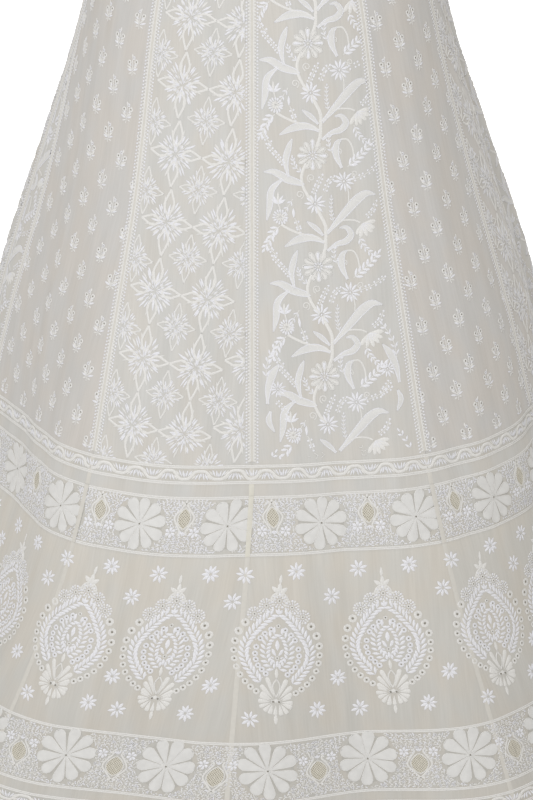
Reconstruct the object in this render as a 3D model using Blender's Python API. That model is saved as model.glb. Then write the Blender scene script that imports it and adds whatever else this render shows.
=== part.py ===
"""A worn chikankari lehenga skirt: twelve flared kalis sewn to a waistband, hollow and open at waist and hem.

The skirt hangs round a general figure that is left out. The origin is the middle of the waist opening,
level with the waistband's top edge. The front faces -Y, +X is to the viewer's right, and +Z is up.
"""

import math

import bpy
import numpy as np

# Driving sizes, in metres and degrees
SKIRT_LENGTH = 1.080
WAISTBAND_HEIGHT = 0.035
WAISTBAND_THICKNESS = 0.0022
WAISTBAND_LAP = 0.030
LAP_GAP = 0.0008
CLOTH_THICKNESS = 0.0016
SEAM_GAP = 0.0004
KALI_COUNT = 12
FRONT_COLUMNS = 10
BACK_COLUMNS = 20
FRONT_KALIS = 6
KALI_ROWS = 18
RING_SAMPLES = 1440
SLOPE_STEP = 0.002
FRONT_SQUARENESS = 2.31
CLOSURE_TURN = 90.0
BAND_COLUMNS = 72
BAND_ROWS = 2
SHARP_ANGLE = math.radians(50)

KALI_DESIGNS = ("vine", "sprig", "star")
CENTRE_SEAM = 3

# How far the skirt reaches from its middle at each depth under the waist, in millimetres.
# back_fold is the height of the soft folds that hang round the back.
RING_COLUMNS = ("depth", "half_width", "front", "back", "back_fold")
RINGS = (
    (0, 120, 102, 102, 0),
    (60, 150, 122, 128, 2),
    (160, 179, 150, 163, 5),
    (280, 208, 194, 193, 8),
    (420, 253, 250, 222, 12),
    (560, 298, 303, 244, 17),
    (700, 330, 346, 270, 24),
    (840, 362, 375, 304, 33),
    (960, 404, 394, 342, 42),
    (1080, 455, 410, 382, 50),
)

# Broad swells and hollows of the smooth front: the turn from the middle of the front (degrees,
# to the right), and how far each stands out at the narrow border and at the hem (mm).
SWELL_COLUMNS = ("turn", "at_border", "at_hem")
FRONT_SWELLS = (
    (-56, -20, 5),
    (-37, 8, 13),
    (-20, 9, -6),
    (-3, -4, 8),
    (15, -9, -20),
    (34, 5, 14),
    (52, 8, -6),
)
SWELL_HALF_TURN = 11.0
SWELL_START, SWELL_BORDER, SWELL_HEM = 300, 740, 1040

# Crests of the back folds: turn from the middle of the front, and share of back_fold.
FOLD_COLUMNS = ("turn", "share")
BACK_FOLDS = (
    (76, 0.0),
    (101, 0.65),
    (124, 1.0),
    (146, 0.85),
    (169, 1.1),
    (192, 0.9),
    (214, 1.1),
    (237, 0.85),
    (260, 0.65),
    (284, 0.0),
)

# Where the seams run: the centre seam's distance left of the middle of the front, and how far
# the next seams lean from an even spacing (mm along the ring, to the right).
SEAM_COLUMNS = ("depth", "centre", "seam_1", "seam_2", "seam_4", "seam_5")
SEAM_LEANS = (
    (0, -11, 0, 0, 0, 0),
    (230, -14, -54, -4, 18, 24),
    (430, -14, -22, 8, 8, 12),
    (660, -14, -34, 10, 3, 9),
    (760, -19, -20, 9, 11, 14),
    (910, -32, -10, 0, 31, 20),
    (1080, -46, 0, -17, 50, 26),
)

# Plain finishes: colour, roughness, metallic
KALI_FINISH = ((0.62, 0.60, 0.56, 1.0), 0.75, 0.0)
WAISTBAND_FINISH = ((0.66, 0.63, 0.58, 1.0), 0.70, 0.0)


def clear_scene():
    for item in list(bpy.data.objects):
        bpy.data.objects.remove(item, do_unlink=True)


def finish(name, values):
    colour, roughness, metallic = values
    material = bpy.data.materials.new(name)
    material.use_nodes = True
    shader = material.node_tree.nodes["Principled BSDF"]
    shader.inputs["Base Color"].default_value = colour
    shader.inputs["Roughness"].default_value = roughness
    shader.inputs["Metallic"].default_value = metallic
    return material


def table_column(columns, rows, name):
    """One column of a table, as an array."""
    return np.array([row[columns.index(name)] for row in rows], float)


def smooth_curve(knots, values, at):
    """A curve through the table's values that never overshoots them."""
    at = np.clip(at, knots[0], knots[-1])
    gaps = np.diff(knots)
    slopes = np.diff(values) / gaps
    tangents = np.empty(len(knots))
    tangents[0] = slopes[0]
    tangents[-1] = slopes[-1]
    same_way = slopes[:-1] * slopes[1:] > 0
    mean = 2 * slopes[:-1] * slopes[1:] / np.where(same_way, slopes[:-1] + slopes[1:], 1)
    tangents[1:-1] = np.where(same_way, mean, 0)
    i = np.clip(np.searchsorted(knots, at, side="right") - 1, 0, len(gaps) - 1)
    f = (at - knots[i]) / gaps[i]
    rise = f * f * (3 - 2 * f)
    return (
        values[i] * (1 - rise)
        + values[i + 1] * rise
        + tangents[i] * gaps[i] * f * (1 - f) ** 2
        - tangents[i + 1] * gaps[i] * f * f * (1 - f)
    )


def ring_size(name, depth):
    knots = table_column(RING_COLUMNS, RINGS, "depth")
    return smooth_curve(knots, table_column(RING_COLUMNS, RINGS, name), depth * 1000) / 1000


def front_swell(turn, depth):
    """How far the smooth front stands out from its plain ring, in metres."""
    turns = (np.degrees(turn) + 180) % 360 - 180
    total = np.zeros_like(turns)
    for where, at_border, at_hem in FRONT_SWELLS:
        height = np.interp(depth * 1000, (SWELL_START, SWELL_BORDER, SWELL_HEM), (0, at_border, at_hem))
        total += height * np.exp(-(((turns - where) / SWELL_HALF_TURN) ** 2))
    return total / 1000


def back_fold(turn, depth):
    """How far the back folds stand out from the plain ring, in metres."""
    crests = table_column(FOLD_COLUMNS, BACK_FOLDS, "turn")
    shares = table_column(FOLD_COLUMNS, BACK_FOLDS, "share")
    turns = np.degrees(turn) % 360
    wave = np.cos(2 * math.pi * np.interp(turns, crests, np.arange(len(crests))))
    return ring_size("back_fold", depth) * np.interp(turns, crests, shares, 0, 0) * wave


def ring_outline(turn, depth):
    """The skirt's level section at this depth: x and y of the cloth's middle."""
    squareness = np.where(np.cos(turn) > 0, FRONT_SQUARENESS, 2.0 + (FRONT_SQUARENESS - 2.0) * np.sin(turn) ** 2)
    plain = (np.abs(np.sin(turn)) ** squareness + np.abs(np.cos(turn)) ** squareness) ** (-1 / squareness)
    reach = np.where(np.cos(turn) > 0, ring_size("front", depth), ring_size("back", depth))
    extra = front_swell(turn, depth) + back_fold(turn, depth)
    x = (ring_size("half_width", depth) * plain + extra) * np.sin(turn)
    y = -(reach * plain + extra) * np.cos(turn)
    return x, y


def ring_by_length(depth):
    """The section as points with the cloth length from the middle of the front to each."""
    turn = np.linspace(-math.pi, math.pi, RING_SAMPLES + 1)
    x, y = ring_outline(turn, depth)
    length = np.concatenate([[0], np.cumsum(np.hypot(np.diff(x), np.diff(y)))])
    return length - length[RING_SAMPLES // 2], x, y


def points_along_ring(depth, lengths):
    along, x, y = ring_by_length(depth)
    whole = along[-1] - along[0]
    wrapped = (lengths - along[0]) % whole + along[0]
    return np.interp(wrapped, along, x), np.interp(wrapped, along, y)


def seam_length(number, depth):
    """Cloth length from the middle of the front to a numbered seam, along the ring."""
    along = ring_by_length(depth)[0]
    width = (along[-1] - along[0]) / KALI_COUNT
    knots = table_column(SEAM_COLUMNS, SEAM_LEANS, "depth")

    def lean(name):
        return smooth_curve(knots, table_column(SEAM_COLUMNS, SEAM_LEANS, name), np.array(depth * 1000.0)) / 1000

    place = lean("centre") + (number - CENTRE_SEAM) * width
    column = f"seam_{number % KALI_COUNT}"
    return place + (lean(column) if column in SEAM_COLUMNS else 0.0)


def kali_points(number, depths, columns, shift=0.0):
    """Rows of points across one kali, moved by shift along the ring."""
    rows = []
    for depth in depths:
        left = seam_length(number - 1, depth) + SEAM_GAP / 2
        right = seam_length(number, depth) - SEAM_GAP / 2
        lengths = left + (right - left) * np.linspace(0, 1, columns + 1) + shift
        x, y = points_along_ring(depth, lengths)
        rows.append(np.stack([x, y, np.full_like(x, -depth)], axis=1))
    return np.array(rows)


def kali_wall(number):
    """The outer and inner faces of one kali, from its top edge at the waistband to the hem."""
    top = WAISTBAND_HEIGHT + SEAM_GAP
    depths = top + (SKIRT_LENGTH - top) * np.linspace(0, 1, KALI_ROWS + 1)
    columns = FRONT_COLUMNS if number <= FRONT_KALIS else BACK_COLUMNS
    middle = kali_points(number, depths, columns)
    across = kali_points(number, depths, columns, SLOPE_STEP) - kali_points(number, depths, columns, -SLOPE_STEP)
    down = kali_points(number, depths + SLOPE_STEP, columns) - kali_points(number, depths - SLOPE_STEP, columns)
    outward = np.cross(down, across)
    # The wall's ends stay level at the waistband and at the hem
    outward[[0, -1], :, 2] = 0
    outward /= np.linalg.norm(outward, axis=-1, keepdims=True)
    return middle + outward * CLOTH_THICKNESS / 2, middle - outward * CLOTH_THICKNESS / 2


def grid_faces(corner):
    """Quads over a grid of point numbers, facing out when the grid runs down and to the right."""
    return np.stack([corner[:-1, :-1], corner[1:, :-1], corner[1:, 1:], corner[:-1, 1:]], axis=-1).reshape(-1, 4)


def cloth_object(name, outer, inner, material):
    """A cloth piece closed between its outer and inner faces."""
    rows, columns = outer.shape[:2]
    front = np.arange(rows * columns).reshape(rows, columns)
    back = front + rows * columns
    top, bottom = np.stack([back[0], front[0]]), np.stack([front[-1], back[-1]])
    faces = [grid_faces(part) for part in (front, back[:, ::-1], top, bottom)]
    # The twisted edges split along the same diagonal as the next kali's, so that the seam gap stays even
    left = grid_faces(np.stack([back[:, 0], front[:, 0]], axis=1))
    right = grid_faces(np.stack([front[:, -1], back[:, -1]], axis=1))
    edges = [left[:, [0, 1, 3]], left[:, [1, 2, 3]], right[:, [0, 1, 2]], right[:, [0, 2, 3]]]
    mesh = bpy.data.meshes.new(name)
    points = np.concatenate([outer.reshape(-1, 3), inner.reshape(-1, 3)])
    mesh.from_pydata(points.tolist(), [], np.concatenate(faces).tolist() + np.concatenate(edges).tolist())
    mesh.shade_smooth()
    mesh.set_sharp_from_angle(angle=SHARP_ANGLE)
    mesh.materials.append(material)
    piece = bpy.data.objects.new(name, mesh)
    bpy.context.scene.collection.objects.link(piece)
    return piece


def kali(number, material):
    design = KALI_DESIGNS[(number - 1) % len(KALI_DESIGNS)]
    return cloth_object(f"kali_{number:02d}_{design}", *kali_wall(number), material)


def waistband(material):
    """A straight strip round the waist whose end laps under its start at the side."""
    outer, inner = [], []
    for depth in np.linspace(0, WAISTBAND_HEIGHT, BAND_ROWS + 1):
        along, x, y = ring_by_length(depth)
        whole = along[-1] - along[0]
        start = np.interp(math.radians(CLOSURE_TURN), np.linspace(-math.pi, math.pi, RING_SAMPLES + 1), along)
        lengths = start + (whole + WAISTBAND_LAP) * np.linspace(0, 1, BAND_COLUMNS + 1)
        x, y = points_along_ring(depth, lengths)
        step = np.stack([np.gradient(x), np.gradient(y)])
        step /= np.hypot(*step)
        into = (lengths - start - (whole - WAISTBAND_LAP)) / WAISTBAND_LAP
        tuck = (WAISTBAND_THICKNESS + LAP_GAP) * np.clip(into, 0, 1)
        for face, side in ((outer, 0.5), (inner, -0.5)):
            out = WAISTBAND_THICKNESS * side - tuck
            face.append(np.stack([x + step[1] * out, y - step[0] * out, np.full_like(x, -depth)], axis=1))
    return cloth_object("waistband", np.array(outer), np.array(inner), material)


clear_scene()
cloth = finish("georgette", KALI_FINISH)
for number in range(1, KALI_COUNT + 1):
    own = cloth.copy()
    own.name = f"georgette_{number:02d}"
    kali(number, own)
waistband(finish("waistband_cloth", WAISTBAND_FINISH))
bpy.data.materials.remove(cloth)
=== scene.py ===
import math

import bpy
import numpy as np
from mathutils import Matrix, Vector


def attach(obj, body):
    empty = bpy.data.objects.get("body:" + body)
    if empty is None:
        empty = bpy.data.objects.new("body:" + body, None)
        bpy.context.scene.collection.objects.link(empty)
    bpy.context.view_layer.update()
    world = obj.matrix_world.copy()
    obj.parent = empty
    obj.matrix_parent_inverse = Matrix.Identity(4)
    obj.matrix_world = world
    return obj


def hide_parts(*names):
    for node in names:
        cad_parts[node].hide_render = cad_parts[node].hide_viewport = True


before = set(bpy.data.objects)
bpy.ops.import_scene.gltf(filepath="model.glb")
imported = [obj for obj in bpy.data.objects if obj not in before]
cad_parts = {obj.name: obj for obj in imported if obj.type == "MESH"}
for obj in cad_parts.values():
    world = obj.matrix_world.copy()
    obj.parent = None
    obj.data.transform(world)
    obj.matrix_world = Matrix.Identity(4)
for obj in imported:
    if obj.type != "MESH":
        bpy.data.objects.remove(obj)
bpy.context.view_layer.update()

# Camera at the photo's viewpoint, in metres and radians
CAMERA_DISTANCE = 3.167
CAMERA_HEIGHT = 0.546
CAMERA_PITCH = 0.3813
CAMERA_ASIDE = 0.0013
FOCAL_PIXELS = 2908.6
PHOTO_WIDTH = 533
SENSOR_MM = 36.0

# The skirt's sizes, as in the solids, in metres
SKIRT_LENGTH = 1.080
WAISTBAND_HEIGHT = 0.035
WAISTBAND_LAP = 0.030
WAISTBAND_THICKNESS = 0.0022
LAP_GAP = 0.0008
KALI_COUNT = 12
RING_SAMPLES = 1440
FRONT_SQUARENESS = 2.31
CENTRE_SEAM = 3
CLOSURE_TURN = 90.0
FLOOR_DROP = 0.020
KALI_DESIGNS = ("vine", "sprig", "star")

RING_COLUMNS = ("depth", "half_width", "front", "back", "back_fold")
RINGS = (
    (0, 120, 102, 102, 0),
    (60, 150, 122, 128, 2),
    (160, 179, 150, 163, 5),
    (280, 208, 194, 193, 8),
    (420, 253, 250, 222, 12),
    (560, 298, 303, 244, 17),
    (700, 330, 346, 270, 24),
    (840, 362, 375, 304, 33),
    (960, 404, 394, 342, 42),
    (1080, 455, 410, 382, 50),
)
# Where each swell lies round the front in degrees, and its height at the border and at the hem
FRONT_SWELLS = (
    (-56, -20, 5), (-37, 8, 13), (-20, 9, -6), (-3, -4, 8), (15, -9, -20), (34, 5, 14), (52, 8, -6),
)
SWELL_HALF_TURN = 11.0
SWELL_START, SWELL_BORDER, SWELL_HEM = 300, 740, 1040
# The crests of the soft folds at the back, in degrees, and each one's share of the fold's depth
BACK_FOLDS = (
    (76, 0.0), (101, 0.65), (124, 1.0), (146, 0.85), (169, 1.1),
    (192, 0.9), (214, 1.1), (237, 0.85), (260, 0.65), (284, 0.0),
)
# Soft creases in the hanging cloth: where each starts round the skirt, how it leans and its half width, in
# degrees, then the depths that it runs between and its height, in millimetres
CREASES = (
    (-78, 6, 4.0, 240, 900, 3.0), (-66, 3, 3.0, 420, 1080, -2.6), (-54, 4, 3.4, 180, 760, 2.2),
    (-43, -5, 3.0, 300, 1000, -2.4), (-31, -2, 2.6, 520, 1080, 1.8), (-22, 4, 2.6, 120, 620, -1.3),
    (-9, -2, 2.4, 640, 1080, 1.5), (4, 1, 2.4, 200, 640, 0.9), (13, 3, 2.4, 560, 1060, -1.7),
    (24, 2, 2.6, 260, 900, 1.6), (35, 5, 2.8, 480, 1080, -2.2), (45, -3, 3.0, 180, 800, 2.4),
    (57, 4, 3.2, 320, 1040, -2.6), (69, 5, 3.4, 220, 1080, 2.8), (81, -3, 3.6, 400, 1000, -2.4),
    (98, 4, 3.4, 200, 860, 2.4), (113, -4, 3.2, 420, 1080, -2.6), (131, 3, 3.6, 260, 1000, 2.6),
    (152, -3, 3.4, 380, 1080, -2.4), (166, 4, 3.2, 180, 760, 2.2), (183, -4, 3.4, 460, 1080, 2.6),
    (201, 3, 3.4, 240, 940, -2.4), (219, -5, 3.6, 400, 1080, 2.8), (236, 4, 3.2, 200, 820, -2.2),
    (254, 3, 3.4, 360, 1060, 2.4), (268, -4, 3.6, 220, 900, -2.6),
)
SEAM_COLUMNS = ("depth", "centre", "seam_1", "seam_2", "seam_4", "seam_5")
SEAM_LEANS = (
    (0, -11, 0, 0, 0, 0),
    (230, -14, -54, -4, 18, 24),
    (430, -14, -22, 8, 8, 12),
    (660, -14, -34, 10, 3, 9),
    (760, -19, -20, 9, 11, 14),
    (910, -32, -10, 0, 31, 20),
    (1080, -46, 0, -17, 50, 26),
)

# The cloth shells
CLOTH_THICKNESS = 0.0006
ROW_STEP = 0.008
KALI_CELLS = 24
SIDE_CELLS = 6
SEAM_CLEAR = 0.0002
SIDE_STEP = 0.0015
JUST_INSIDE = 0.001
BAND_COLUMNS, BAND_ROWS = 120, 8
LINE_POINTS = 33
RIM_ANGLE = math.radians(40)

# Depths of the borders under the waist, in millimetres
NARROW_TOP, NARROW_BOTTOM = 664.2, 684.0
WIDE_TOP, WIDE_BOTTOM = 696.6, 760.5
LOWER_TOP, LOWER_BOTTOM = 962.0, 1033.3
HEM_TOP, HEM_BOTTOM = 1043.4, 1062.5
MEDALLION_DEPTH = 869.0

# Finishes by slot. The hole finish and the shade finish are painted shade, and the last is the seam strip
# made paler and warmer as painted light.
SATIN, CREAM, STRIP, HOLE_SHADE, NET, APPLIQUE, SHADE, PAINTED_LIGHT_STRIP = range(8)


# Tables and curves

def by_column(columns, rows):
    return dict(zip(columns, np.array(rows, float).T))


RING_TABLE = by_column(RING_COLUMNS, RINGS)
SEAM_TABLE = by_column(SEAM_COLUMNS, SEAM_LEANS)
FOLD_TURNS, FOLD_SHARES = np.array(BACK_FOLDS).T


def smooth_curve(knots, values, at):
    """A curve through the table's values that never overshoots them."""
    at = np.clip(at, knots[0], knots[-1])
    gaps = np.diff(knots)
    slopes = np.diff(values) / gaps
    tangents = np.empty(len(knots))
    tangents[0] = slopes[0]
    tangents[-1] = slopes[-1]
    same_way = slopes[:-1] * slopes[1:] > 0
    mean = 2 * slopes[:-1] * slopes[1:] / np.where(same_way, slopes[:-1] + slopes[1:], 1)
    tangents[1:-1] = np.where(same_way, mean, 0)
    i = np.clip(np.searchsorted(knots, at, side="right") - 1, 0, len(gaps) - 1)
    f = (at - knots[i]) / gaps[i]
    rise = f * f * (3 - 2 * f)
    return (
        values[i] * (1 - rise)
        + values[i + 1] * rise
        + tangents[i] * gaps[i] * f * (1 - f) ** 2
        - tangents[i + 1] * gaps[i] * f * f * (1 - f)
    )


def ring_size(name, depth):
    return smooth_curve(RING_TABLE["depth"], RING_TABLE[name], depth * 1000) / 1000


def front_swell(turn, depth):
    turns = (np.degrees(turn) + 180) % 360 - 180
    total = np.zeros_like(turns)
    for where, at_border, at_hem in FRONT_SWELLS:
        height = np.interp(depth * 1000, (SWELL_START, SWELL_BORDER, SWELL_HEM), (0, at_border, at_hem))
        total += height * np.exp(-(((turns - where) / SWELL_HALF_TURN) ** 2))
    return total / 1000


def back_fold(turn, depth):
    turns = np.degrees(turn) % 360
    wave = np.cos(2 * math.pi * np.interp(turns, FOLD_TURNS, np.arange(len(FOLD_TURNS))))
    return ring_size("back_fold", depth) * np.interp(turns, FOLD_TURNS, FOLD_SHARES, 0, 0) * wave


def crease(turn, depth):
    turns = np.degrees(turn)
    total = np.zeros_like(turns)
    for where, lean, half_width, top, bottom, height in CREASES:
        share = (depth * 1000 - top) / (bottom - top)
        if 0 < share < 1:
            away = (turns - where - lean * share + 180) % 360 - 180
            total += height * math.sin(math.pi * share) ** 0.7 * np.exp(-((away / half_width) ** 2))
    return total / 1000


def ring_outline(turn, depth):
    """The skirt's level section at this depth: x and y of the cloth's middle."""
    squareness = FRONT_SQUARENESS - (FRONT_SQUARENESS - 2.0) * np.minimum(np.cos(turn), 0) ** 2
    plain = (np.abs(np.sin(turn)) ** squareness + np.abs(np.cos(turn)) ** squareness) ** (-1 / squareness)
    reach = np.where(np.cos(turn) > 0, ring_size("front", depth), ring_size("back", depth))
    extra = front_swell(turn, depth) + back_fold(turn, depth) + crease(turn, depth)
    x = (ring_size("half_width", depth) * plain + extra) * np.sin(turn)
    y = -(reach * plain + extra) * np.cos(turn)
    return x, y


def lengths_along(path):
    """How far along a path each of its points lies."""
    return np.concatenate([[0], np.cumsum(np.linalg.norm(np.diff(path, axis=0), axis=1))])


def ring_by_length(depth):
    """The section as points with the cloth length from the middle of the front to each."""
    x, y = ring_outline(np.linspace(-math.pi, math.pi, RING_SAMPLES + 1), depth)
    length = lengths_along(np.stack([x, y], axis=1))
    return length - length[RING_SAMPLES // 2], x, y


def ring_places(ring, lengths):
    """Where cloth lengths round a ring fall on it: x and y."""
    along, x, y = ring
    wrapped = (lengths - along[0]) % (along[-1] - along[0]) + along[0]
    return np.interp(wrapped, along, x), np.interp(wrapped, along, y)


class Skirt:
    """The cloth's middle surface as a grid of rows by depth, and where each seam runs on it."""

    def __init__(self):
        top = WAISTBAND_HEIGHT + SEAM_CLEAR
        count = round((SKIRT_LENGTH - top) / ROW_STEP)
        self.depths = np.linspace(top, SKIRT_LENGTH, count + 1)
        self.rings = [ring_by_length(depth) for depth in self.depths]
        self.leans = {
            name: smooth_curve(SEAM_TABLE["depth"], SEAM_TABLE[name], self.depths * 1000) / 1000
            for name in SEAM_COLUMNS[1:]
        }
        self.whole = np.array([ring[0][-1] - ring[0][0] for ring in self.rings])
        reach = (ring_size("half_width", self.depths) + ring_size("front", self.depths)) / 2
        self.lengths = lengths_along(np.stack([self.depths, reach], axis=1)) + top
        self.slants = np.gradient(self.lengths) / np.gradient(self.depths)

    def seam(self, number):
        """Cloth length from the middle of the front to a numbered seam, for every row."""
        place = self.leans["centre"] + (number - CENTRE_SEAM) * self.whole / KALI_COUNT
        name = f"seam_{number % KALI_COUNT}"
        return place + self.leans[name] if name in self.leans else place

    def slant(self, depth):
        """How much longer the cloth is than its drop, near a depth in millimetres."""
        return float(np.interp(depth / 1000, self.depths, self.slants))

    def points(self, lengths):
        """Points for an array of ring lengths, a row for each depth."""
        rows = []
        for ring, wanted, depth in zip(self.rings, lengths, self.depths):
            rows.append(np.stack([*ring_places(ring, wanted), np.full_like(wanted, -depth)], axis=1))
        return np.array(rows)


SKIRT = Skirt()


class Kali:
    """One kali's own grid, with some cells more on each side so that motifs can cross its seams."""

    def __init__(self, number):
        self.number = number
        self.design = KALI_DESIGNS[(number - 1) % len(KALI_DESIGNS)]
        self.left = SKIRT.seam(number - 1)
        self.right = SKIRT.seam(number)
        self.width = self.right - self.left
        cells = np.arange(-SIDE_CELLS, KALI_CELLS + SIDE_CELLS + 1) / KALI_CELLS
        across = self.left[:, None] + self.width[:, None] * cells[None]
        self.middle = SKIRT.points(across)
        side = SKIRT.points(across + SIDE_STEP) - SKIRT.points(across - SIDE_STEP)
        down = np.gradient(self.middle, axis=0)
        normal = np.cross(down, side)
        self.normal = normal / np.linalg.norm(normal, axis=-1, keepdims=True)

    def width_at(self, depth):
        return np.interp(depth / 1000, SKIRT.depths, self.width) * 1000

    def place(self, x, depth, height):
        """World points for offsets from the kali's middle, depths and heights off the cloth, all in mm."""
        depths = SKIRT.depths
        row = np.clip((depth / 1000 - depths[0]) / (depths[1] - depths[0]), 0, len(depths) - 1 - JUST_INSIDE)
        column = (0.5 + x / self.width_at(depth)) * KALI_CELLS + SIDE_CELLS
        column = np.clip(column, 0, KALI_CELLS + 2 * SIDE_CELLS - JUST_INSIDE)
        r, c = row.astype(int), column.astype(int)
        fr, fc = (row - r)[:, None], (column - c)[:, None]

        def mixed(grid):
            upper = grid[r, c] * (1 - fc) + grid[r, c + 1] * fc
            lower = grid[r + 1, c] * (1 - fc) + grid[r + 1, c + 1] * fc
            return upper * (1 - fr) + lower * fr

        return mixed(self.middle) + mixed(self.normal) * (CLOTH_THICKNESS / 2 + height[:, None] / 1000)


# Stitches, in millimetres: x across, y down the kali, h off the cloth

LEAF_STATIONS = ((0.22, 0.62), (0.50, 1.0), (0.80, 0.66))
PETAL_STATIONS = ((0.30, 0.60), (0.62, 1.0), (0.86, 0.74))
BLUNT_STATIONS = ((0.30, 0.46), (0.60, 0.86), (0.86, 1.0), (0.97, 0.72))
SHORT_STATIONS = ((0.5, 1.0),)
BEAD_STATIONS = ((0.22, 0.9), (0.78, 0.9))


def aim(angle):
    """The direction of an angle in degrees: 0 points up and 90 to the right."""
    turn = math.radians(angle)
    return np.array([math.sin(turn), -math.cos(turn)])


def beside(direction):
    """A quarter turn clockwise from a direction, or from each row of an array of them."""
    return np.stack([-direction[..., 1], direction[..., 0]], axis=-1)


def circle(x, y, radius, sides):
    """Points round a circle, clockwise from its top."""
    turn = np.arange(sides) * 2 * math.pi / sides
    return np.stack([x + radius * np.sin(turn), y - radius * np.cos(turn)], axis=1)


def wheel(count):
    """Triangles from point 0 to the sides of the ring of points after it."""
    return [(0, 1 + (i + 1) % count, 1 + i) for i in range(count)]


def lattice(rows, columns, closed=False):
    """Quads over rows of points, and from the last row back to the first where the rows close."""
    faces = []
    for i in range(rows if closed else rows - 1):
        for j in range(columns - 1):
            a, b = columns * i + j, columns * ((i + 1) % rows) + j
            faces.append((a, b, b + 1, a + 1))
    return faces


def heading(step):
    """The angle of a direction, in degrees."""
    return math.degrees(math.atan2(step[0], -step[1]))


def curve(*points, steps=6):
    """A smooth line through a few points, ends included."""
    p = np.array(points, float)
    p = np.concatenate([[2 * p[0] - p[1]], p, [2 * p[-1] - p[-2]]])
    out = []
    for a, b, c, d in zip(p, p[1:], p[2:], p[3:]):
        for f in np.linspace(0, 1, steps, endpoint=False):
            bend = (2 * a - 5 * b + 4 * c - d) + f * (3 * b - a - 3 * c + d)
            out.append(b + 0.5 * f * (c - a + f * bend))
    return np.array(out + [p[-2]])


class Stamp:
    """Stitches drawn round an origin of their own, each kept apart so that it can be left out alone. The
    seed makes one hand-worked copy differ a little from the next."""

    def __init__(self, seed=0, loose=1.0):
        self.chance = np.random.default_rng(seed)
        self.loose = loose
        self.stitches = []
        self.ready = None

    def add(self, points, faces, finish, flat):
        """Keeps a stitch: its points, its faces of three or four corners, its finish and its flat places."""
        faces = np.array([(*face, -1)[:4] for face in faces])
        self.stitches.append((np.asarray(points, float), faces, finish, np.asarray(flat, float)))

    def leaf(self, x, y, angle, length, width, finish=SATIN, height=0.85, stations=LEAF_STATIONS, base=0.12):
        """A satin leaf from (x, y) at an angle."""
        out = aim(angle + self.loose * self.chance.uniform(-3.5, 3.5))
        length *= 1 + self.loose * self.chance.uniform(-0.07, 0.07)
        width *= 1 + self.loose * self.chance.uniform(-0.08, 0.08)
        rows = [(0, 0, base)]
        for along, share in stations:
            half = width * share / 2
            rows += [(along, -half, base), (along, 0, height * (0.5 + 0.5 * share)), (along, half, base)]
        rows = np.array(rows + [(1, 0, base)]) * (length, 1, 1)
        spots = (x, y) + rows[:, :1] * out + rows[:, 1:2] * beside(out)
        last = len(rows) - 1
        faces = [(0, 2, 1), (0, 3, 2)]
        for a in range(1, last - 3, 3):
            faces += [(a, a + 1, a + 4, a + 3), (a + 1, a + 2, a + 5, a + 4)]
        faces += [(last - 3, last - 2, last), (last - 2, last - 1, last)]
        self.add(np.column_stack([spots, rows[:, 2]]), faces, finish, rows[:, 1::-1])

    def ray(self, x, y, start, angle, length, *look):
        """A leaf that starts some way out from (x, y) in its own direction."""
        self.leaf(*((x, y) + aim(angle) * start), angle, length, *look)

    def fan(self, x, y, spokes, width, finish=SATIN, height=0.85, stations=LEAF_STATIONS, start=0.0):
        """Leaves that spread round (x, y), each with its own angle and length."""
        for angle, length in spokes:
            self.ray(x, y, start, angle, length, width, finish, height, stations)

    def ribbon(self, path, width, finish=CREAM, height=0.6, closed=False, base=0.1, taper=1.0):
        """A line of stitching along a path, rounded on top. Taper is the end's share of the width."""
        path = np.asarray(path, float)
        step = np.roll(path, -1, axis=0) - np.roll(path, 1, axis=0)
        if not closed:
            step[0] = path[1] - path[0]
            step[-1] = path[-1] - path[-2]
        step /= np.maximum(np.linalg.norm(step, axis=1, keepdims=True), 1e-9)
        side = beside(step) * np.linspace(width / 2, width / 2 * taper, len(path))[:, None]
        points, flat = [], []
        for p, s, a in zip(path, side, lengths_along(path)):
            points += [(*(p + s), base), (*p, height), (*(p - s), base)]
            flat += [(-width / 2, a), (0, a), (width / 2, a)]
        self.add(points, lattice(len(path), 3, closed), finish, flat)

    def ring(self, x, y, radius, width, finish=CREAM, height=0.7, sides=8):
        self.ribbon(circle(x, y, radius, sides), width, finish, height, closed=True)

    # A flat disc. Left at its default finish, it is the dark middle of a hole, painted shade.
    def disc(self, x, y, radius, finish=HOLE_SHADE, height=0.16, sides=6, rim=0.10):
        points = [(x, y, height)] + [(*spot, rim) for spot in circle(x, y, radius, sides)]
        self.add(points, wheel(sides), finish, np.array(points)[:, :2] - (x, y))

    def pad(self, x, y, radius, finish, height, rings=4, sides=20):
        """A round patch that follows the cloth under it."""
        spots = [circle(x, y, radius * ring / rings, sides) for ring in range(1, rings + 1)]
        spots = np.concatenate([[(x, y)], *spots])
        faces = []
        for i in range(sides):
            j = (i + 1) % sides
            faces.append((0, 1 + j, 1 + i))
            for first in range(1, 1 + (rings - 1) * sides, sides):
                faces.append((first + i, first + j, first + j + sides, first + i + sides))
        self.add(np.column_stack([spots, np.full(len(spots), height)]), faces, finish, spots - (x, y))

    def knot(self, x, y, radius=0.9, finish=SATIN, height=0.95):
        self.disc(x, y, radius, finish, height, sides=5, rim=0.1)

    def eyelet(self, x, y, radius, finish=CREAM, hole=None, sides=8):
        """A ring worked round a small hole, whose dark middle is a disc of painted shade."""
        width = radius * 0.66
        self.ring(x, y, radius - width / 2, width, finish, 0.8, sides)
        self.disc(x, y, radius * 0.44 if hole is None else hole)

    def flower(self, x, y, radius, petals, width, finish=SATIN, turn=0.0, inner=0.12, height=0.85,
               stations=PETAL_STATIONS):
        spokes = [(turn + 360 * i / petals, radius * (1 - inner)) for i in range(petals)]
        self.fan(x, y, spokes, width, finish, height, stations, radius * inner)

    def merge(self, other, x, y, scale=1.0):
        """Adds another stamp's stitches to this one, moved and scaled."""
        for points, faces, finish, flat in other.stitches:
            self.stitches.append((points * (scale, scale, 1) + (x, y, 0), faces, finish, flat * scale))

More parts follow.
